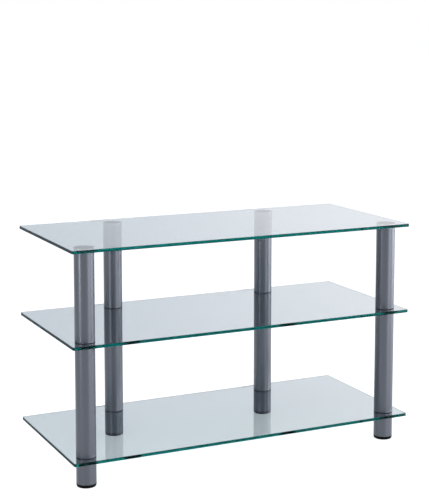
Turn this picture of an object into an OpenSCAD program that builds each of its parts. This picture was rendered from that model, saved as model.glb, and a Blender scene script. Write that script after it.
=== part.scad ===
// Glass television stand: three clear shelves clamped on four round columns.
// The front columns stand near the shelf ends, and the rear pair stands closer together.
// Millimetres. X runs along the front, Y towards the back and Z up.
// The origin is on the floor, below the middle of the shelves.

/* [Glass] */
// Width of each shelf, end to end
shelf_w = 950; // [800:10:1200]
// Depth of each shelf, front to back
shelf_d = 420; // [360:5:520]
// Thickness of the glass
glass_t = 8; // [6:1:12]
// Corner radius of a shelf, seen from above
corner_r = 5; // [3:1:20]
// Width of the ground bevel along each glass edge
arris = 0.5; // [0.4:0.1:1.5]
// Diameter of the holes drilled through the middle and bottom shelves
glass_hole_d = 14; // [13:0.5:18]

/* [Heights] */
// Floor to the lower rim of a column
foot_h = 8; // [7:0.5:12]
// Column rim to the underside of the bottom shelf
lower_bay = 58.5; // [54:0.5:120]
// Clear height between the bottom and middle shelves
middle_bay = 278.5; // [180:0.5:400]
// Clear height between the middle and top shelves
upper_bay = 225; // [120:0.5:350]

/* [Columns] */
// Outer diameter of the tubes
tube_d = 50; // [44:1:60]
// Wall of the tubes
tube_wall = 1.5; // [1:0.1:2.5]
// Front column axis from the shelf end
front_inset_x = 46; // [36:1:100]
// Front column axis from the front edge
front_inset_y = 46; // [36:1:90]
// Rear column axis from the shelf end
rear_inset_x = 246; // [40:1:340]
// Rear column axis from the back edge
rear_inset_y = 46; // [36:1:90]

/* [End plugs] */
// Thickness of the flange between a tube rim and the glass
flange_t = 0.8; // [0.6:0.1:3]
// Depth of the plug inside its tube
plug_depth = 12; // [8:0.5:20]
// Wall of the plug's outer ring
plug_wall = 1.8; // [1.2:0.1:3]
// Diameter of the plug's hub
hub_d = 15; // [13:0.5:20]
// Number of webs from the hub to the ring
web_count = 6; // [3:1:8]
// Thickness of the webs
web_t = 1.6; // [1:0.1:3]
// Number of crush ribs around the ring
rib_count = 12; // [6:1:24]
// Radius of a crush rib
rib_r = 0.8; // [0.5:0.1:1.2]

/* [Bonding plates] */
// Thickness of the disc bonded under the top shelf
plate_t = 3; // [2:0.5:5]
// Height of the shoulder that centres the upper tube
shoulder_h = 5; // [3:0.5:8]
// Wall of that shoulder
shoulder_wall = 3; // [2:0.5:5]
// Diameter of the threaded boss
boss_d = 18; // [14:0.5:24]
// Height of the threaded boss below the disc
boss_h = 14; // [10:0.5:20]
// Metal left between the threaded hole and the glass
plate_skin = 2; // [1:0.5:3]

/* [Clamping] */
// Nominal diameter of the thread on rods and foot bolts
thread_d = 8; // [6:1:10]
// Rod length inside the coupling nut
rod_grip = 8; // [6:0.5:10]
// Foot bolt length still inside the coupling nut when the foot is fully out
bolt_grip = 7; // [5:0.5:10]
// Width across the flats of the coupling nut
nut_af = 13; // [13:0.5:17]
// Diameter of the clamping washer
washer_d = 20; // [18:0.5:24]
// Thickness of the clamping washer
washer_t = 1.6; // [1:0.1:3]

/* [Feet] */
// Travel of the levelling foot
foot_travel = 8; // [4:0.5:9]
// Thickness of the socket's flange under the tube rim
socket_flange_t = 1.5; // [1:0.1:2.5]
// Wall of the socket's ring and pocket
socket_wall = 2; // [1.5:0.1:3]
// Thickness of the socket's pressure web
pressure_web_t = 4; // [3:0.5:6]
// Step from the tube's outside in to the glide's widest ring
glide_step = 0.5; // [0.3:0.1:3]
// Width of the rounding at the glide's lower edge
glide_round = 2; // [1:0.5:5]
// Height of the glide's upright rim above the rounding
glide_rim_h = 2; // [0.5:0.1:3]
// Width across the flats of the foot bolt's head
head_af = 13; // [12:0.5:17]
// Height of the foot bolt's head
head_h = 3; // [2:0.1:3.4]
// Depth of that head above the floor
head_recess = 1; // [0.5:0.1:1.5]

/* [Hidden] */
// Clearances, each on the radius unless it says otherwise
thread_gap = 0.1;
rod_pass_gap = 0.3;
ring_gap = 0.4;
rib_gap = 0.05;
shoulder_gap = 0.1;
nose_gap = 0.25;
head_gap = 0.1;
wrench_gap = 1.5;
// Gaps along the column axis
nose_end_gap = 0.3;
foot_gap = 0.3;
stud_gap = 1;
nut_recess = 2.4;
tap_end_gap = 0.5;
// Small edge breaks on turned and cut metal
edge_break = 0.4;
thread_chamfer = 1;
// Overlap of a web with what it grows from
web_root = 0.5;
// Step from a plug's inner end back to its webs and ribs
web_step = 2.4;
rib_step = 1;
// Overshoot of a cut past the faces it leaves
cut = 1;
$fn = 96;

tube_id = tube_d - 2 * tube_wall;
rod_pass_d = thread_d + 2 * rod_pass_gap;
thread_solid_d = thread_d - 2 * thread_gap;

// Levels of the glass faces, from the floor up
bottom_under = foot_h + lower_bay;
bottom_top = bottom_under + glass_t;
middle_under = bottom_top + middle_bay;
middle_top = middle_under + glass_t;
top_under = middle_top + upper_bay;

// The coupling nut holds the rod's end, the bolt's travel and what stays engaged
nut_h = rod_grip + stud_gap + foot_travel + bolt_grip;
pocket_h = nut_recess + nut_h + washer_t;
pocket_d = washer_d + 2 * wrench_gap;

// Levels inside a column's foot, from the floor up
glide_h = foot_h - socket_flange_t - foot_gap;
socket_under = foot_h - socket_flange_t;
pocket_top = socket_under + pocket_h;
nut_top = pocket_top - washer_t;
rod_under = nut_top - rod_grip;
head_top = head_recess + head_h;
bolt_top = rod_under - stud_gap;
rod_top = top_under - plate_skin - tap_end_gap;

// Colours as the photograph shows them
glass_colour = [0.72, 0.88, 0.86, 0.4];
tube_colour = "#7d818b";
plate_colour = "#a9abb5";
plastic_colour = "#17181a";
steel_colour = "#b9bcc0";

// Each column's name, its side (-1 left, 1 right) and its end (-1 front, 1 rear)
COLUMNS = [
    ["front_left", -1, -1],
    ["front_right", 1, -1],
    ["rear_left", -1, 1],
    ["rear_right", 1, 1],
];
COLUMN_PARTS = [
    "upper_tube",
    "middle_tube",
    "lower_tube",
    "bonding_plate",
    "upper_tube_lower_plug",
    "middle_tube_upper_plug",
    "middle_tube_lower_plug",
    "lower_tube_upper_plug",
    "rod",
    "foot_socket",
    "foot_bolt",
    "foot_glide",
];

function is_front(column) = column[2] < 0;
function inset_x(column) = is_front(column) ? front_inset_x : rear_inset_x;
function inset_y(column) = is_front(column) ? front_inset_y : rear_inset_y;
function column_x(column) = column[1] * (shelf_w / 2 - inset_x(column));
function column_y(column) = column[2] * (shelf_d / 2 - inset_y(column));

// Places its children on one column's axis, at height z
module on_column(column, z) {
    translate([column_x(column), column_y(column), z]) children();
}

// Section across a sheet of glass with a bevel at each of its four corners
module bevelled_section(width) {
    half = width / 2;
    polygon([
        [-half + arris, 0], [half - arris, 0],
        [half, arris], [half, glass_t - arris],
        [half - arris, glass_t], [-half + arris, glass_t],
        [-half, glass_t - arris], [-half, arris],
    ]);
}

// Round corner of the sheet: the same bevelled edge turned about the corner's centre
module bevelled_corner() {
    rotate_extrude()
        polygon([
            [0, 0], [corner_r - arris, 0],
            [corner_r, arris], [corner_r, glass_t - arris],
            [corner_r - arris, glass_t], [0, glass_t],
        ]);
}

// Sheet with its underside at z = 0: two crossed bars and four round corners
module glass_sheet() {
    rotate([90, 0, 90])
        linear_extrude(height = shelf_w - 2 * corner_r, center = true)
            bevelled_section(shelf_d);
    rotate([90, 0, 0])
        linear_extrude(height = shelf_d - 2 * corner_r, center = true)
            bevelled_section(shelf_w);
    for (x = [-1, 1], y = [-1, 1])
        translate([x * (shelf_w / 2 - corner_r), y * (shelf_d / 2 - corner_r), 0])
            bevelled_corner();
}

module drilled_sheet() {
    difference() {
        glass_sheet();
        for (column = COLUMNS)
            on_column(column, -cut)
                cylinder(d = glass_hole_d, h = glass_t + 2 * cut);
    }
}

module top_shelf() {
    color(glass_colour) translate([0, 0, top_under]) glass_sheet();
}

module middle_shelf() {
    color(glass_colour) translate([0, 0, middle_under]) drilled_sheet();
}

module bottom_shelf() {
    color(glass_colour) translate([0, 0, bottom_under]) drilled_sheet();
}

// Cut length of tube from one level to another, with its rims lightly broken
module tube(column, from, to) {
    outer = tube_d / 2;
    inner = tube_id / 2;
    rim = min(edge_break, tube_wall / 3);
    color(tube_colour)
        on_column(column, 0)
            rotate_extrude()
                polygon([
                    [inner, from], [outer - rim, from],
                    [outer, from + rim], [outer, to - rim],
                    [outer - rim, to], [inner, to],
                ]);
}

module upper_tube(column) {
    tube(column, middle_top + flange_t, top_under - plate_t);
}

module middle_tube(column) {
    tube(column, bottom_top + flange_t, middle_under - flange_t);
}

module lower_tube(column) {
    tube(column, foot_h, bottom_under - flange_t);
}

// Ring around z, open in the middle
module ring(outer_d, inner_d, from, to) {
    translate([0, 0, from])
        difference() {
            cylinder(d = outer_d, h = to - from);
            translate([0, 0, -cut]) cylinder(d = inner_d, h = to - from + 2 * cut);
        }
}

// Webs that join a hub to the inside of an outer ring
module webs(inner_d, outer_d, from, to) {
    start = inner_d / 2 - web_root;
    end = outer_d / 2 + web_root;
    for (i = [0:web_count - 1])
        rotate(i * 360 / web_count)
            translate([start, -web_t / 2, from])
                cube([end - start, web_t, to - from]);
}

// Ribs that bite on the tube's bore
module crush_ribs(from, to) {
    reach = tube_id / 2 - rib_gap - rib_r;
    for (i = [0:rib_count - 1])
        rotate((i + 0.5) * 360 / rib_count)
            translate([reach, 0, from])
                cylinder(r = rib_r, h = to - from, $fn = 24);
}

// Moulded plug for a tube end. The glass face is z = 0, the nose stands up into
// the glass hole and the ribbed ring hangs down into the tube.
module plug_body() {
    ring_d = tube_id - 2 * ring_gap;
    ring_inner_d = ring_d - 2 * plug_wall;
    nose_h = glass_t / 2 - nose_end_gap;
    plug_end = -flange_t - plug_depth;
    difference() {
        union() {
            cylinder(d = glass_hole_d - 2 * nose_gap, h = nose_h);
            translate([0, 0, -flange_t]) cylinder(d = tube_d, h = flange_t);
            translate([0, 0, plug_end]) cylinder(d = hub_d, h = plug_depth);
            ring(ring_d, ring_inner_d, plug_end, -flange_t);
            webs(hub_d, ring_inner_d, plug_end + web_step, -flange_t);
            crush_ribs(plug_end + rib_step, -flange_t);
        }
        translate([0, 0, plug_end - cut])
            cylinder(d = rod_pass_d, h = nose_h - plug_end + 2 * cut);
    }
}

// Plug in a tube's upper end, under the glass at this level
module upper_end_plug(column, level) {
    color(plastic_colour) on_column(column, level) plug_body();
}

// Plug in a tube's lower end, on the glass at this level
module lower_end_plug(column, level) {
    color(plastic_colour) on_column(column, level) rotate([180, 0, 0]) plug_body();
}

// Turned disc bonded to the underside of the top shelf. Its shoulder centres the
// upper tube and its boss takes the rod.
module bonding_plate(column) {
    outer = tube_d / 2;
    shoulder_r = tube_id / 2 - shoulder_gap;
    shoulder_low = -plate_t - shoulder_h;
    boss_low = -plate_t - boss_h;
    color(plate_colour)
        on_column(column, top_under)
            rotate_extrude()
                polygon([
                    [0, 0], [outer - edge_break, 0],
                    [outer, -edge_break], [outer, -plate_t],
                    [shoulder_r, -plate_t], [shoulder_r, shoulder_low + edge_break],
                    [shoulder_r - edge_break, shoulder_low],
                    [shoulder_r - shoulder_wall, shoulder_low],
                    [shoulder_r - shoulder_wall, -plate_t],
                    [boss_d / 2, -plate_t], [boss_d / 2, boss_low + edge_break],
                    [boss_d / 2 - edge_break, boss_low], [thread_d / 2, boss_low],
                    [thread_d / 2, -plate_skin], [0, -plate_skin],
                ]);
}

// Threaded bar with chamfered ends, drawn at its running diameter
module threaded_bar(from, to) {
    r = thread_solid_d / 2;
    rotate_extrude()
        polygon([
            [0, from], [r - thread_chamfer, from],
            [r, from + thread_chamfer], [r, to - thread_chamfer],
            [r - thread_chamfer, to], [0, to],
        ]);
}

module rod(column) {
    color(steel_colour) on_column(column, 0) threaded_bar(rod_under, rod_top);
}

// Moulded socket in the column's lower end. The pressure web carries the washer and
// nut, and the pocket below it leaves room for a wrench.
module foot_socket(column) {
    ring_d = tube_id - 2 * ring_gap;
    ring_inner_d = ring_d - 2 * socket_wall;
    pocket_outer_d = pocket_d + 2 * socket_wall;
    color(plastic_colour)
        on_column(column, 0)
            difference() {
                union() {
                    translate([0, 0, socket_under]) cylinder(d = tube_d, h = socket_flange_t);
                    ring(ring_d, ring_inner_d, foot_h, pocket_top);
                    translate([0, 0, socket_under])
                        cylinder(d = pocket_outer_d, h = pocket_h + pressure_web_t);
                    webs(pocket_outer_d, ring_inner_d, foot_h, pocket_top - web_step);
                    crush_ribs(foot_h, pocket_top - rib_step);
                }
                translate([0, 0, socket_under - cut]) cylinder(d = pocket_d, h = pocket_h + cut);
                translate([0, 0, socket_under])
                    cylinder(d = rod_pass_d, h = pocket_h + pressure_web_t + cut);
            }
}

// Washer between the pressure web and the coupling nut
module clamp_washer() {
    ring(washer_d, rod_pass_d, nut_top, pocket_top);
}

// Long hexagon nut with both ends chamfered: rod from above, foot bolt from below
module coupling_nut() {
    across_corners = nut_af / cos(30);
    chamfer = (across_corners - nut_af) / 2;
    translate([0, 0, nut_top - nut_h])
        difference() {
            intersection() {
                cylinder(d = across_corners, h = nut_h, $fn = 6);
                rotate_extrude()
                    polygon([
                        [0, 0], [nut_af / 2, 0],
                        [nut_af / 2 + chamfer, chamfer], [nut_af / 2 + chamfer, nut_h - chamfer],
                        [nut_af / 2, nut_h], [0, nut_h],
                    ]);
            }
            translate([0, 0, -cut]) cylinder(d = thread_d, h = nut_h + 2 * cut);
        }
}

module coupling_nuts() {
    color(steel_colour)
        for (column = COLUMNS) on_column(column, 0) coupling_nut();
}

module clamp_washers() {
    color(steel_colour)
        for (column = COLUMNS) on_column(column, 0) clamp_washer();
}

// Black glide that stands on the floor: an upright rim over a rounded lower edge
module foot_glide(column) {
    rim_r = tube_d / 2 - glide_step;
    round_h = glide_h - glide_rim_h;
    steps = 8;
    lower_edge = [
        for (i = [0:steps])
            [
                rim_r - glide_round + glide_round * sin(i * 90 / steps),
                round_h * (1 - cos(i * 90 / steps)),
            ]
    ];
    color(plastic_colour)
        on_column(column, 0)
            difference() {
                rotate_extrude()
                    polygon(concat([[0, 0]], lower_edge, [[rim_r, glide_h], [0, glide_h]]));
                translate([0, 0, -cut])
                    cylinder(d = (head_af + 2 * head_gap) / cos(30), h = head_top + cut, $fn = 6);
                cylinder(d = rod_pass_d, h = glide_h + cut);
            }
}

// Bolt of the levelling foot, with its hexagon head held in the glide from below
module foot_bolt(column) {
    color(steel_colour)
        on_column(column, 0) {
            translate([0, 0, head_recess])
                cylinder(d = head_af / cos(30), h = head_h, $fn = 6);
            threaded_bar(head_recess, bolt_top);
        }
}

top_shelf();
middle_shelf();
bottom_shelf();
coupling_nuts();
clamp_washers();
for (column = COLUMNS) {
    upper_tube(column);
    middle_tube(column);
    lower_tube(column);
    bonding_plate(column);
    lower_end_plug(column, middle_top);
    upper_end_plug(column, middle_under);
    lower_end_plug(column, bottom_top);
    upper_end_plug(column, bottom_under);
    rod(column);
    foot_socket(column);
    foot_bolt(column);
    foot_glide(column);
}
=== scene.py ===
# %% [markdown]
# # A glass stand on four grey columns
#
# The object is a free-standing stand: three sheets of clear float glass, clamped one above the other on four
# aluminium columns. Each column is three lengths of tube, stacked through the glass on a threaded rod.
#
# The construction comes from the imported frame, where every part already has its real size and place. What is
# left is how light meets the surfaces. Glass and metal show mostly what stands around them, so the studio
# matters as much as the materials do.

# %% Load the frame
import math

import bmesh
import bpy
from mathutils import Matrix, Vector


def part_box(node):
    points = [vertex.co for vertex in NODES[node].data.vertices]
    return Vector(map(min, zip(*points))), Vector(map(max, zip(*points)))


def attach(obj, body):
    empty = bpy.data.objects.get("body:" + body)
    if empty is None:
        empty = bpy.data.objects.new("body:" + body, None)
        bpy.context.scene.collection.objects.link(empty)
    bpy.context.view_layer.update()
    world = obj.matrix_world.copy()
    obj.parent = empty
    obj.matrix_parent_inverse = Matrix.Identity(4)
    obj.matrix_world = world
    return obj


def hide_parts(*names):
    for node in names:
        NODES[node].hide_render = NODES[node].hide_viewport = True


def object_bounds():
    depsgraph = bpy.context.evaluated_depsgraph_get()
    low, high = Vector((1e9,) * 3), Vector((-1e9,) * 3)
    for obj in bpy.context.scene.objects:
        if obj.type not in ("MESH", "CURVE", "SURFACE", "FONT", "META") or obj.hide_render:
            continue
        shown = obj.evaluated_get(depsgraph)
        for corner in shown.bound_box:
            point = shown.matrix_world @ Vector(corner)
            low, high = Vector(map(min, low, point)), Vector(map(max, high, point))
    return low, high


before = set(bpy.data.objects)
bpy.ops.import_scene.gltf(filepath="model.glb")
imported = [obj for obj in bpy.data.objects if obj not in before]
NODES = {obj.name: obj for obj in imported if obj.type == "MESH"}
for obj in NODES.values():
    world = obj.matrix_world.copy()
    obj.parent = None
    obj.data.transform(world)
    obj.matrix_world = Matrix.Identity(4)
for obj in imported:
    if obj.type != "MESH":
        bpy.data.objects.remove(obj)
cad_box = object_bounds()
CORNERS = ("front_left", "front_right", "rear_left", "rear_right")
print("nodes", len(NODES), "box", [tuple(round(v, 4) for v in corner) for corner in cad_box])

# %% [markdown]
# ## Colours and nodes
#
# Paint charts and photographs give colours as sRGB hex values, but shaders work in linear light. One
# function turns the first into the second.
#
# A material is a small tree of nodes. A second function adds one node and fills its inputs, each with a
# plain value or with another node's output, and a third starts an empty tree. So every material below reads
# as a short list of steps.

# %% Helpers for every material
MM = 0.001


def linear(hex_colour):
    """sRGB hex, such as "#8a8d92", to the linear RGBA that a shader takes."""
    channels = [int(hex_colour[i : i + 2], 16) / 255 for i in (1, 3, 5)]
    return (*[c / 12.92 if c <= 0.04045 else ((c + 0.055) / 1.055) ** 2.4 for c in channels], 1.0)


def add(tree, kind, inputs=None, **settings):
    """Adds a node. Each input, by name or number, gets a value or is linked to the output that is given."""
    node = tree.nodes.new(kind)
    for name, value in settings.items():
        setattr(node, name, value)
    for name, given in (inputs or {}).items():
        if isinstance(given, bpy.types.NodeSocket):
            tree.links.new(given, node.inputs[name])
        else:
            node.inputs[name].default_value = given
    return node


def new_material(name):
    """An empty node material and its tree."""
    material = bpy.data.materials.new(name)
    material.use_nodes = True
    material.node_tree.nodes.clear()
    return material, material.node_tree


print("mid grey #808080 is", round(linear("#808080")[0], 3), "in linear light")

# %% [markdown]
# ## Float glass
#
# Float glass is poured on molten tin, cut, and then ground and polished round its rim. Head on it looks
# clear. Its rim looks deep green, because light that comes out there has run the whole depth of the sheet
# inside the glass, mirrored between its two faces, and traces of iron take the red away.
#
# A green colour on the rim could fake that. Here the glass is a real solid with absorption inside it: a
# short way through stays clear, the long way along the sheet turns green, and what touches the sheet shows
# dark in its rim, as it does in life. Common clear glass takes less than this. The strength is set so that
# the rim reaches the deep green of the picture within the few dozen times that a ray is mirrored here.
#
# Lamps are small, and a ray seldom finds one through two bent surfaces. So shadow rays go straight through,
# a little dimmed, and the sheets throw a light shadow instead of a black one.

# %% The body of the glass
GLASS_IOR = 1.52
GREEN_PER_METRE = 15.0
PASSED_COLOUR = "#5fd8d6"
LAMP_LIGHT_PASSED = "#f4f7f7"
WHITE = "#ffffff"
FLATNESS_STARTS, FLATNESS_FULL = 0.4, 0.72


def tinted_by_angle(tree, tint, flat_painted_shade):
    """A colour that is tint seen head on, and goes over to the painted shade flat_painted_shade at a flat
    angle.
    """
    angle = add(tree, "ShaderNodeLayerWeight")
    flatness = add(tree, "ShaderNodeMapRange", {"Value": angle.outputs["Facing"],
                                                "From Min": FLATNESS_STARTS, "From Max": FLATNESS_FULL})
    seen = add(tree, "ShaderNodeMix", {"Factor": flatness.outputs[0], "A": linear(tint),
                                       "B": linear(flat_painted_shade)}, data_type="RGBA")
    return seen.outputs["Result"]


def plain_from_inside(tree, surface):
    """Shows surface from outside, and plain polished glass to light that is already in the sheet."""
    plain = add(tree, "ShaderNodeBsdfPrincipled",
                {"Base Color": linear(WHITE), "Roughness": 0.0, "IOR": GLASS_IOR,
                 "Transmission Weight": 1.0})
    side = add(tree, "ShaderNodeNewGeometry")
    return add(tree, "ShaderNodeMixShader",
               {0: side.outputs["Backfacing"], 1: surface.outputs[0], 2: plain.outputs[0]})


def glass(name, tint=WHITE, flat_painted_shade=None, mirrored=WHITE, clearness=1.0, roughness=0.0,
          ior=GLASS_IOR, gloss=0.0, outside_only=False):
    """One finish of float glass. The green inside is the same for all of them.

    With outside_only, light that is already in the sheet meets plain glass instead."""
    material, tree = new_material(name)
    colour = tinted_by_angle(tree, tint, flat_painted_shade) if flat_painted_shade else linear(tint)
    surface = add(tree, "ShaderNodeBsdfPrincipled",
                  {"Base Color": colour, "Roughness": roughness, "IOR": ior,
                   "Transmission Weight": clearness, "Specular Tint": linear(mirrored),
                   "Coat Weight": gloss})
    if outside_only:
        surface = plain_from_inside(tree, surface)
    lamps_pass = add(tree, "ShaderNodeBsdfTransparent", {"Color": linear(LAMP_LIGHT_PASSED)})
    path = add(tree, "ShaderNodeLightPath")
    mixed = add(tree, "ShaderNodeMixShader",
                {0: path.outputs["Is Shadow Ray"], 1: surface.outputs[0], 2: lamps_pass.outputs[0]})
    inside = add(tree, "ShaderNodeVolumeAbsorption",
                 {"Color": linear(PASSED_COLOUR), "Density": GREEN_PER_METRE})
    add(tree, "ShaderNodeOutputMaterial", {"Surface": mixed.outputs[0], "Volume": inside.outputs[0]})
    return material


for way, length in (("straight through", 8 * MM), ("from back to front", 420 * MM)):
    passed = [math.exp(-GREEN_PER_METRE * (1 - c) * length) for c in linear(PASSED_COLOUR)[:3]]
    print(way, "the glass lets through", [round(v, 3) for v in passed])

# %% [markdown]
# ## Four finishes on one sheet
#
# The two faces are as the float bath leaves them, with no roughness at all. From above they are clear. At a
# flat angle a sheet turns much of the light away, reads grey against white, and shows what stands behind it
# only faintly. Fresnel gives a part of that. A thin coat adds mirroring at flat angles, and a grey painted
# shade that comes in with the angle gives the rest. Layer Weight measures the angle, as is usual for glass.
#
# The long rims are polished. They mirror little of the white floor, and what they do mirror looks green.
#
# The short ends are polished too. From the front they show the long dark inside of the sheet as one even
# slate. Rays alone find it in dashes, with bright paper in between, so most of an end gets that slate as
# painted shade, by a low transmission weight. An index of 1 leaves mirroring out, and a thin coat keeps a
# glint.
#
# Coat, painted flat shade and painted slate shade are for the outside. Light that is already in the sheet
# meets plain glass, or the green of the long rims would turn black. Backfacing tells the two sides apart.
#
# The arris is the small bevel that takes the sharpness off the rim. It is ground and left so, and scatters
# light.

# %% The finishes
# The second colour is painted shade: the grey a sheet reads at a flat angle, where it turns light away.
CLEAR, FLAT_PAINTED_SHADE = "#f9fbfb", "#98959d"
FACE_COAT = 0.42
MIRRORED_GREEN = "#2c8f8a"
# The slate on the ends is painted shade: the dark inside of the sheet, as seen through an end.
END_PAINTED_SHADE = "#3a464c"
END_CLEARNESS, END_GLINT = 0.3, 0.15
GROUND_ROUGHNESS = 0.35

glass_face = glass("clear_float_glass_face", tint=CLEAR, flat_painted_shade=FLAT_PAINTED_SHADE, gloss=FACE_COAT,
                   outside_only=True)
glass_long_edge = glass("polished_long_edge", mirrored=MIRRORED_GREEN)
glass_end_edge = glass("polished_end_edge", tint=END_PAINTED_SHADE, clearness=END_CLEARNESS, ior=1.0,
                       gloss=END_GLINT, outside_only=True)
glass_arris = glass("ground_arris", roughness=GROUND_ROUGHNESS)
GLASS_FINISHES = (glass_face, glass_long_edge, glass_end_edge, glass_arris)
print("glass finishes:", [finish.name for finish in GLASS_FINISHES])

# %% [markdown]
# ## The sheets
#
# Each sheet is one closed solid: a rectangle with small rounded corners, an arris along every edge, and
# drilled holes where a column's rod passes. A box with a bevel modifier would be quick, but then the faces
# couldn't be told apart by finish. Here the sheet is laid out ring by ring from its section, and each face
# then gets its finish from the way it looks: up or down, to the front or back, to an end, or aslant.
#
# Two surfaces at exactly the same height leave it to chance which one a ray meets. So each sheet reaches a
# fiftieth of a millimetre into the rings that it is clamped between, as if it were seated in them.

# %% Sizes and outlines
ARRIS = 0.5 * MM
CORNER_RADIUS = 5 * MM
CORNER_STEPS = 10
HOLE_DIAMETER = 14 * MM
HOLE_STEPS = 48
SEAT = 0.02 * MM
NEARLY_LEVEL, NEARLY_UPRIGHT = 0.9, 0.1
FACE, LONG_EDGE, END_EDGE, GROUND = range(len(GLASS_FINISHES))


def rounded_rectangle(low, high, inset=0):
    """Points round a sheet, with arcs at its corners, all moved in by inset."""
    points = []
    left, right = low.x + CORNER_RADIUS, high.x - CORNER_RADIUS
    front, back = low.y + CORNER_RADIUS, high.y - CORNER_RADIUS
    radius = CORNER_RADIUS - inset
    for quarter, (x, y) in enumerate(((right, back), (left, back), (left, front), (right, front))):
        for step in range(CORNER_STEPS + 1):
            angle = math.radians(90 * (quarter + step / CORNER_STEPS))
            points.append((x + radius * math.cos(angle), y + radius * math.sin(angle)))
    return points


def circle(centre, radius, steps):
    """Points round an upright axis through centre."""
    turns = [2 * math.pi * step / steps for step in range(steps)]
    return [(centre.x + radius * math.cos(a), centre.y + radius * math.sin(a)) for a in turns]


def middle_of(node):
    """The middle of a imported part's box."""
    low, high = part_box(node)
    return (low + high) / 2


sheet_low, sheet_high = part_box("top_shelf")
print("a sheet's outline has", len(rounded_rectangle(sheet_low, sheet_high)), "points, and its size is",
      [round(v / MM, 1) for v in sheet_high - sheet_low], "mm")

# %% Rings, walls and filled faces
SMOOTH_BELOW = math.radians(25)


def ring_of(mesh, points, z):
    """New vertices at height z, one above each point."""
    return [mesh.verts.new((x, y, z)) for x, y in points]


def bridge(mesh, lower, upper, inward=False):
    """Quads between two rings of the same length. A hole's wall faces inward."""
    for i, vertex in enumerate(lower):
        j = (i + 1) % len(lower)
        quad = (vertex, lower[j], upper[j], upper[i])
        mesh.faces.new(quad[::-1] if inward else quad)


def close_face(mesh, rings, upward):
    """Fills one broad face between its outline and its holes."""
    edges = [mesh.edges.get((ring[i - 1], ring[i])) for ring in rings for i in range(len(ring))]
    filled = bmesh.ops.triangle_fill(mesh, edges=edges, use_beauty=True, normal=(0, 0, 1 if upward else -1))
    for face in filled["geom"]:
        if isinstance(face, bmesh.types.BMFace) and (face.normal.z > 0) != upward:
            face.normal_flip()


def open_edges(mesh):
    """Edges without a face on both sides. A closed solid has none."""
    return sum(1 for edge in mesh.edges if len(edge.link_faces) != 2)


def finish_mesh(mesh, name, materials):
    """Turns a bmesh into a linked object, smooth except across edges sharper than SMOOTH_BELOW."""
    print(name, "faces", len(mesh.faces), "open edges", open_edges(mesh))
    data = bpy.data.meshes.new(name)
    mesh.to_mesh(data)
    mesh.free()
    for material in materials:
        data.materials.append(material)
    data.shade_smooth()
    data.set_sharp_from_angle(angle=SMOOTH_BELOW)
    piece = bpy.data.objects.new(name, data)
    bpy.context.scene.collection.objects.link(piece)
    return piece


# %% Build the three sheets
def on_the_rim(face, low, high):
    """True for a face on the sheet's rim rather than on the wall of a drilled hole."""
    point = face.calc_center_median()
    within_width = low.x + CORNER_RADIUS < point.x < high.x - CORNER_RADIUS
    within_depth = low.y + CORNER_RADIUS < point.y < high.y - CORNER_RADIUS
    return not (within_width and within_depth)


def finish_of(face, low, high):
    """Which finish a face of the sheet has, from the way it looks."""
    levelness = abs(face.normal.z)
    if levelness > NEARLY_LEVEL or not on_the_rim(face, low, high):
        return FACE
    if levelness > NEARLY_UPRIGHT:
        return GROUND
    return END_EDGE if abs(face.normal.x) > abs(face.normal.y) else LONG_EDGE


def glass_sheet(node, drilled):
    """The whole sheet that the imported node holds, with a finish for each kind of face."""
    low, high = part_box(node)
    low.z -= SEAT
    high.z += SEAT if drilled else 0
    levels = ((low.z, ARRIS), (low.z + ARRIS, 0), (high.z - ARRIS, 0), (high.z, ARRIS))
    mesh = bmesh.new()
    outline = [ring_of(mesh, rounded_rectangle(low, high, inset), z) for z, inset in levels]
    for lower, upper in zip(outline, outline[1:]):
        bridge(mesh, lower, upper)
    bottom, top = [outline[0]], [outline[-1]]
    for corner in CORNERS if drilled else ():
        points = circle(middle_of(corner + "_rod"), HOLE_DIAMETER / 2, HOLE_STEPS)
        bottom.append(ring_of(mesh, points, low.z))
        top.append(ring_of(mesh, points, high.z))
        bridge(mesh, bottom[-1], top[-1], inward=True)
    close_face(mesh, bottom, upward=False)
    close_face(mesh, top, upward=True)
    mesh.normal_update()
    for face in mesh.faces:
        face.material_index = finish_of(face, low, high)
    sheet = finish_mesh(mesh, node + "_sheet", GLASS_FINISHES)
    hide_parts(node)
    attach(sheet, "stand")


glass_sheet("top_shelf", drilled=False)
glass_sheet("middle_shelf", drilled=True)
glass_sheet("bottom_shelf", drilled=True)

# %% [markdown]
# ## Satin anodised aluminium
#
# The columns are extruded tube, etched to a satin and anodised a mid grey. The etch softens what they
# mirror, and the die leaves fine lines along the tube. The eye gets long soft streaks of light and dark that
# follow the lamps round the curve.
#
# A brushed surface spreads light across its lines, which here would be round the tube and would smear the
# streaks out. The picture shows narrow ones, so the spread is turned along the tube: the metal is
# anisotropic, and its tangent runs round the column's own middle.
#
# The lines themselves are a noise that is squeezed to 0.5 mm across and drawn out to 400 mm along. Real die
# lines are about a tenth of a millimetre apart and would be lost in the picture, so these are drawn coarser.
# They shift the colour a little and lift the surface hardly at all, because a strong lift makes the streaks
# waver.

# %% Aluminium for the columns
TUBE_COLOUR_LOW, TUBE_COLOUR_HIGH = "#5a5d64", "#5f626a"
LINE_SPACING = 0.5 * MM
LINE_LENGTH = 400 * MM
LINE_DEPTH, LINE_STRENGTH = 0.02 * MM, 0.02
ETCHED_ROUGHNESS = 0.375
SPREAD_ALONG = 0.55
QUARTER_TURN = 0.25


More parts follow.
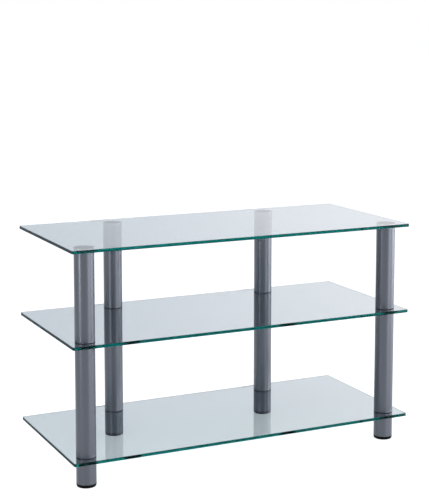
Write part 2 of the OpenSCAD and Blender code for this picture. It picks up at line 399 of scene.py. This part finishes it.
def satin_aluminium(name):
    """Mid grey metal with fine lines along Z, which spreads light along them."""
    material, tree = new_material(name)
    place = add(tree, "ShaderNodeTexCoord")
    lines_per_metre = (1 / LINE_SPACING, 1 / LINE_SPACING, 1 / LINE_LENGTH)
    drawn_out = add(tree, "ShaderNodeMapping", {"Vector": place.outputs["Object"], "Scale": lines_per_metre})
    lines = add(tree, "ShaderNodeTexNoise", {"Vector": drawn_out.outputs[0], "Scale": 1.0, "Detail": 3.0})
    colour = add(tree, "ShaderNodeMix", {"Factor": lines.outputs["Fac"], "A": linear(TUBE_COLOUR_LOW),
                                         "B": linear(TUBE_COLOUR_HIGH)}, data_type="RGBA")
    relief = add(tree, "ShaderNodeBump",
                 {"Height": lines.outputs["Fac"], "Strength": LINE_STRENGTH, "Distance": LINE_DEPTH})
    around = add(tree, "ShaderNodeTangent", direction_type="RADIAL", axis="Z")
    surface = add(tree, "ShaderNodeBsdfPrincipled",
                  {"Base Color": colour.outputs["Result"], "Normal": relief.outputs[0],
                   "Tangent": around.outputs[0], "Metallic": 1.0, "Roughness": ETCHED_ROUGHNESS,
                   "Anisotropic": SPREAD_ALONG, "Anisotropic Rotation": QUARTER_TURN})
    add(tree, "ShaderNodeOutputMaterial", {"Surface": surface.outputs[0]})
    return material


def dress(nodes, material):
    """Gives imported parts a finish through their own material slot."""
    for node in nodes:
        NODES[node].data.materials[0] = material
    print(material.name, "on", len(nodes), "parts")


TUBES = ("_upper_tube", "_middle_tube", "_lower_tube")
dress([corner + part for corner in CORNERS for part in TUBES], satin_aluminium("satin_anodised_aluminium"))

# %% [markdown]
# ## Turned aluminium
#
# A disc closes the upper end of each column and is what the top sheet rests on. It is faced on a lathe, and
# the tool leaves fine rings round its middle. They catch the light as a soft sheen, here as rings of two
# close greys. A lathe's rings are a tenth of a millimetre apart. These are 1.6 mm, so that they just show.
#
# The texture's own coordinates run from 0 to 1 across the disc, so its middle is moved to 0 first. At a
# scale of 1, the wave texture makes 10 / pi rings in such a unit.

# %% Aluminium for the discs
DISC_DIAMETER = 50 * MM
RING_SPACING = 1.58 * MM
RINGS_PER_UNIT = 10 / math.pi
TURNED_LOW, TURNED_HIGH = "#9b9ca3", "#a9aab2"
TURNED_ROUGHNESS = 0.35
TO_THE_MIDDLE = (-0.5, -0.5, 0)


def turned_aluminium(name):
    """Pale metal with fine rings round its middle."""
    material, tree = new_material(name)
    place = add(tree, "ShaderNodeTexCoord")
    centred = add(tree, "ShaderNodeMapping",
                  {"Vector": place.outputs["Generated"], "Location": TO_THE_MIDDLE})
    fineness = DISC_DIAMETER / RING_SPACING / RINGS_PER_UNIT
    rings = add(tree, "ShaderNodeTexWave",
                {"Vector": centred.outputs[0], "Scale": fineness, "Distortion": 0.0},
                wave_type="RINGS", rings_direction="Z")
    colour = add(tree, "ShaderNodeMix", {"Factor": rings.outputs["Fac"], "A": linear(TURNED_LOW),
                                         "B": linear(TURNED_HIGH)}, data_type="RGBA")
    surface = add(tree, "ShaderNodeBsdfPrincipled",
                  {"Base Color": colour.outputs["Result"], "Metallic": 1.0, "Roughness": TURNED_ROUGHNESS})
    add(tree, "ShaderNodeOutputMaterial", {"Surface": surface.outputs[0]})
    return material


dress([corner + "_bonding_plate" for corner in CORNERS], turned_aluminium("turned_aluminium_disc"))

# %% [markdown]
# ## Black nylon, painted lighter on the plugs
#
# End plugs, foot sockets and glides are injection moulded from nylon. The mould is spark eroded, which
# leaves an even grain of a few tenths of a millimetre, and the grain breaks up the shine. A noise bump does
# it. The grain here is 0.6 mm, coarser than the real one, so that it still shows in a close view.
#
# Nylon's index is 1.53, but grain this fine also hides light in its own pits, and the picture shows hardly
# any shine on these parts. A low specular level stands for that. The feet are black there. The rings between
# tubes and glass read a shade lighter, so the end plugs that form them are the same black nylon painted a
# charcoal grey as painted light, with the same grain.

# %% Nylon for plugs, sockets and glides
GRAIN = 0.6 * MM
GRAIN_DEPTH, GRAIN_STRENGTH = 0.08 * MM, 0.35
BLACK_LOW, BLACK_HIGH = "#020203", "#050506"
# The plugs' charcoal is painted light: the same black nylon, drawn lighter where it shows as thin lit rings.
PLUG_PAINTED_LIGHT_LOW, PLUG_PAINTED_LIGHT_HIGH = "#404146", "#48494e"
NYLON_IOR = 1.53
NYLON_ROUGHNESS = 0.6
LIGHT_OUT_OF_THE_PITS = 0.08


def moulded_nylon(name, low, high):
    """Matt plastic with an even grain, between two close shades."""
    material, tree = new_material(name)
    place = add(tree, "ShaderNodeTexCoord")
    grain = add(tree, "ShaderNodeTexNoise",
                {"Vector": place.outputs["Object"], "Scale": 1 / GRAIN, "Detail": 2.0})
    shade = add(tree, "ShaderNodeMix", {"Factor": grain.outputs["Fac"], "A": linear(low),
                                        "B": linear(high)}, data_type="RGBA")
    relief = add(tree, "ShaderNodeBump",
                 {"Height": grain.outputs["Fac"], "Strength": GRAIN_STRENGTH, "Distance": GRAIN_DEPTH})
    surface = add(tree, "ShaderNodeBsdfPrincipled",
                  {"Base Color": shade.outputs["Result"], "Normal": relief.outputs[0],
                   "Roughness": NYLON_ROUGHNESS, "IOR": NYLON_IOR,
                   "Specular IOR Level": LIGHT_OUT_OF_THE_PITS})
    add(tree, "ShaderNodeOutputMaterial", {"Surface": surface.outputs[0]})
    return material


PLUGS = ("_upper_tube_lower_plug", "_middle_tube_upper_plug", "_middle_tube_lower_plug",
         "_lower_tube_upper_plug")
FOOT_PARTS = ("_foot_socket", "_foot_glide")
dress([corner + part for corner in CORNERS for part in PLUGS],
      moulded_nylon("moulded_black_nylon_painted_lighter", PLUG_PAINTED_LIGHT_LOW, PLUG_PAINTED_LIGHT_HIGH))
dress([corner + part for corner in CORNERS for part in FOOT_PARTS],
      moulded_nylon("moulded_black_nylon", BLACK_LOW, BLACK_HIGH))

# %% [markdown]
# ## Zinc-plated steel
#
# Rods, nuts, washers and foot bolts are steel with bright zinc on it. The plating is thin and slightly
# cloudy: its shine and its grey both drift over a few millimetres. One slow noise drives the two.

# %% Zinc for the steel parts
CLOUD = 4 * MM
ZINC_LOW, ZINC_HIGH = "#b4b6ba", "#ced0d4"
BRIGHTEST, DULLEST = 0.22, 0.42


def zinc_plate(name):
    """Bright metal whose grey and shine drift together."""
    material, tree = new_material(name)
    place = add(tree, "ShaderNodeTexCoord")
    clouds = add(tree, "ShaderNodeTexNoise",
                 {"Vector": place.outputs["Object"], "Scale": 1 / CLOUD, "Detail": 4.0})
    colour = add(tree, "ShaderNodeMix", {"Factor": clouds.outputs["Fac"], "A": linear(ZINC_LOW),
                                         "B": linear(ZINC_HIGH)}, data_type="RGBA")
    shine = add(tree, "ShaderNodeMapRange",
                {"Value": clouds.outputs["Fac"], "To Min": BRIGHTEST, "To Max": DULLEST})
    surface = add(tree, "ShaderNodeBsdfPrincipled",
                  {"Base Color": colour.outputs["Result"], "Roughness": shine.outputs[0], "Metallic": 1.0})
    add(tree, "ShaderNodeOutputMaterial", {"Surface": surface.outputs[0]})
    return material


zinc = zinc_plate("bright_zinc_plate")
dress(["coupling_nuts", "clamp_washers"] + [corner + "_rod" for corner in CORNERS], zinc)

# %% [markdown]
# ## The threaded foot bolts
#
# Each foot turns on an M8 bolt whose hexagon head is held in the glide. The thread shows only when a foot is
# screwed out, but then the eye expects it, and a plain pin would look wrong.
#
# A stack of rings would be quick, but rings don't climb. Here the surface is laid out along the helix
# itself: each column of points starts a little higher than the one before, and after one turn it meets the
# first column one pitch up. So every crest is one unbroken line, and the bolt stays a closed solid. Points
# that would pass either end of the bolt gather on its rim, and the merge afterwards makes one point of each
# heap.
#
# The profile is the usual one for a metric thread: a pitch of 1.25 mm, flanks at 60 degrees to each other, a
# flat on the crest of an eighth of the pitch and one in the root of a quarter.

# %% Shape of the thread
PITCH = 1.25 * MM
CREST_RADIUS, ROOT_RADIUS = 3.9 * MM, 3.23 * MM
THREAD_STEPS = 48
ROOT_ENDS, CREST_STARTS, CREST_ENDS = 4 / 16, 9 / 16, 11 / 16
FLANK = CREST_STARTS - ROOT_ENDS
BENDS = (0, ROOT_ENDS, CREST_STARTS, CREST_ENDS)
END_CHAMFER = 1 * MM


def thread_radius(pitches):
    """Radius of the thread, that many pitches above the start of a root."""
    u = pitches - math.floor(pitches)
    climb = min(max((u - ROOT_ENDS) / FLANK, 0), 1)
    fall = min(max((u - CREST_ENDS) / FLANK, 0), 1)
    return ROOT_RADIUS + (CREST_RADIUS - ROOT_RADIUS) * (climb - fall)


def thread_column(mesh, centre, lead, low_z, high_z):
    """Points up the bolt, lead of a turn round it, at each place where the profile bends."""
    turns = math.ceil((high_z - low_z) / PITCH) + 1
    levels = [turn + bend for turn in range(-1, turns) for bend in BENDS]
    angle = 2 * math.pi * lead
    column = []
    for level in levels:
        z = min(max(low_z + (level + lead) * PITCH, low_z), high_z)
        chamfer = CREST_RADIUS - END_CHAMFER + high_z - z
        radius = min(thread_radius((z - low_z) / PITCH - lead), chamfer)
        spot = (centre.x + radius * math.cos(angle), centre.y + radius * math.sin(angle), z)
        column.append(mesh.verts.new(spot))
    return column


print("thread", PITCH / MM, "mm pitch,", round((CREST_RADIUS - ROOT_RADIUS) / MM, 2), "mm deep")

# %% Build the bolts
HEAD_HEIGHT, HEAD_BEVEL = 3 * MM, 0.3 * MM
HEAD_CORNERS = 6
SAME_POINT, SAME_HEIGHT = 0.0001 * MM, 0.001 * MM


def rim_at(mesh, centre, z):
    """The points of a bolt's rim at one height, in order round it."""
    found = [v for v in mesh.verts if abs(v.co.z - z) < SAME_HEIGHT]
    return sorted(found, key=lambda v: math.atan2(v.co.y - centre.y, v.co.x - centre.x))


def threaded_shank(mesh, centre, low_z, high_z):
    """The thread and its flat upper end, still open below. Returns the rim of that opening."""
    leads = [step / THREAD_STEPS for step in range(THREAD_STEPS + 1)]
    columns = [thread_column(mesh, centre, lead, low_z, high_z) for lead in leads]
    for here, following in zip(columns, columns[1:]):
        for k in range(len(here) - 1):
            mesh.faces.new((here[k], following[k], following[k + 1], here[k + 1]))
    bmesh.ops.remove_doubles(mesh, verts=mesh.verts, dist=SAME_POINT)
    mesh.faces.new(rim_at(mesh, centre, high_z))
    return rim_at(mesh, centre, low_z)


def hexagon_head(mesh, centre, radius, low_z, high_z, neck):
    """A bevelled hexagon whose upper face is open inside the ring neck."""
    levels = ((low_z, HEAD_BEVEL), (low_z + HEAD_BEVEL, 0), (high_z - HEAD_BEVEL, 0), (high_z, HEAD_BEVEL))
    rings = [ring_of(mesh, circle(centre, radius - inset, HEAD_CORNERS), z) for z, inset in levels]
    for lower, upper in zip(rings, rings[1:]):
        bridge(mesh, lower, upper)
    mesh.faces.new(rings[0][::-1])
    close_face(mesh, [rings[-1], neck], upward=True)


def foot_bolt(corner):
    """A threaded shank on a hexagon head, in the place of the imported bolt."""
    node = corner + "_foot_bolt"
    low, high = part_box(node)
    centre = middle_of(node)
    head_top = low.z + HEAD_HEIGHT
    mesh = bmesh.new()
    neck = threaded_shank(mesh, centre, head_top, high.z)
    hexagon_head(mesh, centre, (high.x - low.x) / 2, low.z, head_top, neck)
    mesh.normal_update()
    bolt = finish_mesh(mesh, node + "_threaded", (zinc,))
    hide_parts(node)
    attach(bolt, corner + "_foot")


for corner in CORNERS:
    foot_bolt(corner)

# %% [markdown]
# ## The bonded joint
#
# The discs under the top sheet are bonded to it with a clear adhesive that is cured by light. Where it wets
# the glass there is no air, so the sheet's underside stops mirroring, and the disc shows as a dull grey
# ellipse.
#
# Without the film, the glass would mirror the room at a flat angle and hide the disc. So a film a twentieth
# of a millimetre thick reaches a hair into the glass: light in the glass meets the film before it meets the
# air. The film is clear in itself. What it shows is the grey of the disc behind it, and so it is given that
# grey as painted shade.

# %% Adhesive films
FILM_INTO_GLASS = 0.03 * MM
FILM_BELOW = 0.02 * MM
FILM_OVERLAP = 0.01 * MM
FILM_STEPS = 96
CURE_CLOUD = 6 * MM
# The film's two greys are painted shade: the disc as it shows behind the glass.
FILM_PAINTED_SHADE_LOW, FILM_PAINTED_SHADE_HIGH = "#5c5c64", "#64646c"
FILM_IOR, FILM_ROUGHNESS = 1.52, 0.5


def adhesive(name):
    """A faintly cloudy film, painted the shaded grey of the disc behind it, with the same index as the glass.
    """
    material, tree = new_material(name)
    place = add(tree, "ShaderNodeTexCoord")
    clouds = add(tree, "ShaderNodeTexNoise",
                 {"Vector": place.outputs["Object"], "Scale": 1 / CURE_CLOUD, "Detail": 2.0})
    colour = add(tree, "ShaderNodeMix", {"Factor": clouds.outputs["Fac"], "A": linear(FILM_PAINTED_SHADE_LOW),
                                         "B": linear(FILM_PAINTED_SHADE_HIGH)}, data_type="RGBA")
    surface = add(tree, "ShaderNodeBsdfPrincipled",
                  {"Base Color": colour.outputs["Result"], "Roughness": FILM_ROUGHNESS, "IOR": FILM_IOR})
    add(tree, "ShaderNodeOutputMaterial", {"Surface": surface.outputs[0]})
    return material


def film_under_glass(corner, material):
    """A thin round film on the disc, with its upper face just inside the glass."""
    low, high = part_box(corner + "_bonding_plate")
    points = circle(middle_of(corner + "_bonding_plate"), (high.x - low.x) / 2 + FILM_OVERLAP, FILM_STEPS)
    mesh = bmesh.new()
    lower = ring_of(mesh, points, high.z - FILM_BELOW)
    upper = ring_of(mesh, points, high.z + FILM_INTO_GLASS)
    bridge(mesh, lower, upper)
    mesh.faces.new(upper)
    mesh.faces.new(lower[::-1])
    film = finish_mesh(mesh, corner + "_adhesive_film", (material,))
    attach(film, "stand")


cured_film = adhesive("light_cured_adhesive")
for corner in CORNERS:
    film_under_glass(corner, cured_film)

# %% [markdown]
# ## The floor
#
# The picture is a product picture on white, so the floor is white paper: plain, matt, with no edge in sight.
# More light would make it white too, but would bleach the metal. Instead the paper is a light grey that
# takes the stand's soft shadow, and it glows just enough to reach white for what looks at it, the camera, a
# mirroring face or the inside of the glass. The glow lights nothing else. The paper's tooth is far too fine
# to show, and a faint mottle of a few centimetres keeps the sheet from being one dead colour.

# %% Paper floor
FLOOR_RADIUS = 14.0
FLOOR_SEGMENTS = 96
PAPER_LOW, PAPER_HIGH = "#b4b4b4", "#b8b8b8"
MOTTLES_PER_METRE = 40.0
PAPER_GLOW = 0.74


def white_paper(name):
    """Light grey paper that glows to white for what looks at it, and lights nothing."""
    material, tree = new_material(name)
    place = add(tree, "ShaderNodeTexCoord")
    mottle = add(tree, "ShaderNodeTexNoise",
                 {"Vector": place.outputs["Object"], "Scale": MOTTLES_PER_METRE, "Detail": 2.0})
    colour = add(tree, "ShaderNodeMix", {"Factor": mottle.outputs["Fac"], "A": linear(PAPER_LOW),
                                         "B": linear(PAPER_HIGH)}, data_type="RGBA")
    matt = add(tree, "ShaderNodeBsdfDiffuse", {"Color": colour.outputs["Result"]})
    path = add(tree, "ShaderNodeLightPath")
    seen = path.outputs["Is Camera Ray"]
    for way in ("Is Glossy Ray", "Is Transmission Ray"):
        seen = add(tree, "ShaderNodeMath", {0: seen, 1: path.outputs[way]}, operation="MAXIMUM").outputs[0]
    lift = add(tree, "ShaderNodeMath", {0: seen, 1: PAPER_GLOW}, operation="MULTIPLY")
    glow = add(tree, "ShaderNodeEmission", {"Strength": lift.outputs[0], "Color": linear(WHITE)})
    both = add(tree, "ShaderNodeAddShader", {0: matt.outputs[0], 1: glow.outputs[0]})
    add(tree, "ShaderNodeOutputMaterial", {"Surface": both.outputs[0]})
    return material


mesh = bmesh.new()
bmesh.ops.create_circle(mesh, cap_ends=True, radius=FLOOR_RADIUS, segments=FLOOR_SEGMENTS)
floor_data = bpy.data.meshes.new("paper_floor")
mesh.to_mesh(floor_data)
mesh.free()
floor_data.materials.append(white_paper("white_studio_paper"))
floor = bpy.data.objects.new("paper_floor", floor_data)
bpy.context.scene.collection.objects.link(floor)
print("floor", 2 * FLOOR_RADIUS, "m across")

# %% [markdown]
# ## The room
#
# Clear glass on white shows only by what it mirrors. The sheets are seen at a flat angle, so they mirror the
# room just above the horizon on the far side. A white room would make them vanish. A pale grey-blue one
# gives each sheet its cool grey face, and the far wall to the right is brighter, which gives the sheets
# their sheen towards that side.
#
# The world is a sphere round the scene. Its own direction tells the compass and the height: compass 0 is the
# back, 90 is the right. Near the horizon it goes over to white, to meet the floor without a line.

# %% Walls of light
WALL_LEVEL = 0.78
WALL_COLOUR, FAR_WALL_COLOUR = "#ecf3fd", "#f8f7f9"
FAR_WALL_COMPASS = math.radians(60)
FAR_WALL_FADES_IN, FAR_WALL_FULL = 0.66, 0.98
FAR_WALL_RISE = 0.16
FAR_WALL_EXTRA = 0.5
HORIZON_STARTS, HORIZON_ENDS = 0.01, 0.12

world = bpy.data.worlds.new("studio_room")
bpy.context.scene.world = world
world.use_nodes = True
room = world.node_tree
room.nodes.clear()
direction = add(room, "ShaderNodeTexCoord").outputs["Generated"]
height = add(room, "ShaderNodeSeparateXYZ", {0: direction}).outputs["Z"]
to_the_far_wall = (math.sin(FAR_WALL_COMPASS), math.cos(FAR_WALL_COMPASS), 0)
towards = add(room, "ShaderNodeVectorMath", {0: direction, 1: to_the_far_wall}, operation="DOT_PRODUCT")
side = add(room, "ShaderNodeMapRange",
           {"Value": towards.outputs["Value"], "From Min": FAR_WALL_FADES_IN, "From Max": FAR_WALL_FULL},
           interpolation_type="SMOOTHSTEP")
rise = add(room, "ShaderNodeMapRange", {"Value": height, "From Max": FAR_WALL_RISE, "To Max": FAR_WALL_EXTRA},
           interpolation_type="SMOOTHSTEP")
extra = add(room, "ShaderNodeMath", {0: side.outputs[0], 1: rise.outputs[0]}, operation="MULTIPLY")
level = add(room, "ShaderNodeMath", {0: extra.outputs[0], 1: WALL_LEVEL}, operation="ADD")
wall_colour = add(room, "ShaderNodeMix", {"Factor": side.outputs[0], "A": linear(WALL_COLOUR),
                                          "B": linear(FAR_WALL_COLOUR)}, data_type="RGBA")
walls = add(room, "ShaderNodeBackground",
            {"Color": wall_colour.outputs["Result"], "Strength": level.outputs[0]})
horizon = add(room, "ShaderNodeBackground", {"Color": linear(WHITE), "Strength": 1.0})
above = add(room, "ShaderNodeMapRange",
            {"Value": height, "From Min": HORIZON_STARTS, "From Max": HORIZON_ENDS})
both = add(room, "ShaderNodeMixShader", {0: above.outputs[0], 1: horizon.outputs[0], 2: walls.outputs[0]})
add(room, "ShaderNodeOutputWorld", {"Surface": both.outputs[0]})
print("walls at", WALL_LEVEL, "and up to", WALL_LEVEL + FAR_WALL_EXTRA, "on the far right")

# %% [markdown]
# ## The lamps
#
# A tube is a narrow curved mirror: each lamp beside it becomes one streak along it. The picture shows two. A
# fine bright line near the left side of the front left column fades from top to bottom. Such a fade needs a
# lamp that is near and stands high: a narrow strip 0.8 m tall, well under a metre from the column. A broad
# soft band fills the right half of every column. It comes from large softboxes at the right, far enough away
# to look alike to all four. An overhead softbox lays the shadow on the floor. No lamp shows in the picture,
# neither straight nor through the glass, so both switches for that are off.

# %% Softboxes
def softbox(name, place, target, size, watts):
    """A rectangular lamp that looks from place at target. It is seen only where a surface mirrors it."""
    data = bpy.data.lights.new(name, "AREA")
    data.shape = "RECTANGLE"
    data.size, data.size_y = size
    data.energy = watts
    lamp = bpy.data.objects.new(name, data)
    bpy.context.scene.collection.objects.link(lamp)
    lamp.location = place
    lamp.rotation_euler = (Vector(target) - Vector(place)).to_track_quat("-Z", "Y").to_euler()
    lamp.visible_camera = False
    lamp.visible_transmission = False
    print(name, size, "m,", watts, "W")


stand_middle = (cad_box[0] + cad_box[1]) / 2
half_way_up = (0, 0, 0.3)
over_front_left_column = (-0.43, -0.164, 0.7)
softbox("overhead_softbox", (-0.6, -0.6, 3.2), stand_middle, (2.6, 2.0), 30)
softbox("left_strip", (-1.15, -0.42, 0.7), over_front_left_column, (0.03, 0.8), 2.3)
softbox("front_right_softbox", (1.75, -3.03, 0.55), half_way_up, (2.2, 0.9), 36)
softbox("right_softbox", (3.4, -0.9, 0.55), half_way_up, (2.4, 0.9), 60)

# %% [markdown]
# ## The camera
#
# The picture is taken through a long lens from 1.15 m up, 3.1 m in front of the stand's middle and 1.5 m to
# the left of it. Its uprights hardly lean. A shifted lens keeps uprights upright, a tilted camera makes them
# lean in, and both bring the stand into the frame. The camera here tilts for two thirds of the way and
# shifts for the rest. The shift stays on in every other view, so it remains small.

# %% Place the camera
CAMERA_AT = (-1.4854, -3.1013, 1.1485)
HEADING, TILT = 25.558, 6.554
LENS, SENSOR, SHIFT = 94.3, 36.0, -0.17

camera_data = bpy.data.cameras.new("camera")
camera_data.lens, camera_data.sensor_width, camera_data.shift_y = LENS, SENSOR, SHIFT
camera = bpy.data.objects.new("camera", camera_data)
bpy.context.scene.collection.objects.link(camera)
camera.location = CAMERA_AT
camera.rotation_euler = (math.radians(90 - TILT), 0, math.radians(-HEADING))
bpy.context.scene.camera = camera
print("camera", round((camera.location - stand_middle).length, 2), "m from the middle of the stand")

# %% [markdown]
# ## Colour and bounces
#
# The Standard view shows a colour as it is written, which keeps white paper white. The green rim needs many
# bounces: on its way along the sheet a ray is mirrored some thirty times, and one that is cut short ends
# black. A shadow ray meets two faces of glass in each sheet on its way. Sixteen are allowed, and the stand
# has only six one above the other.

# %% View and bounces
EDGE_BOUNCES = 32
SHADOW_LAYERS = 16

scene = bpy.context.scene
scene.view_settings.view_transform = "Standard"
scene.cycles.max_bounces = EDGE_BOUNCES
scene.cycles.glossy_bounces = EDGE_BOUNCES
scene.cycles.transmission_bounces = EDGE_BOUNCES
scene.cycles.transparent_max_bounces = SHADOW_LAYERS
print("bounces", EDGE_BOUNCES)
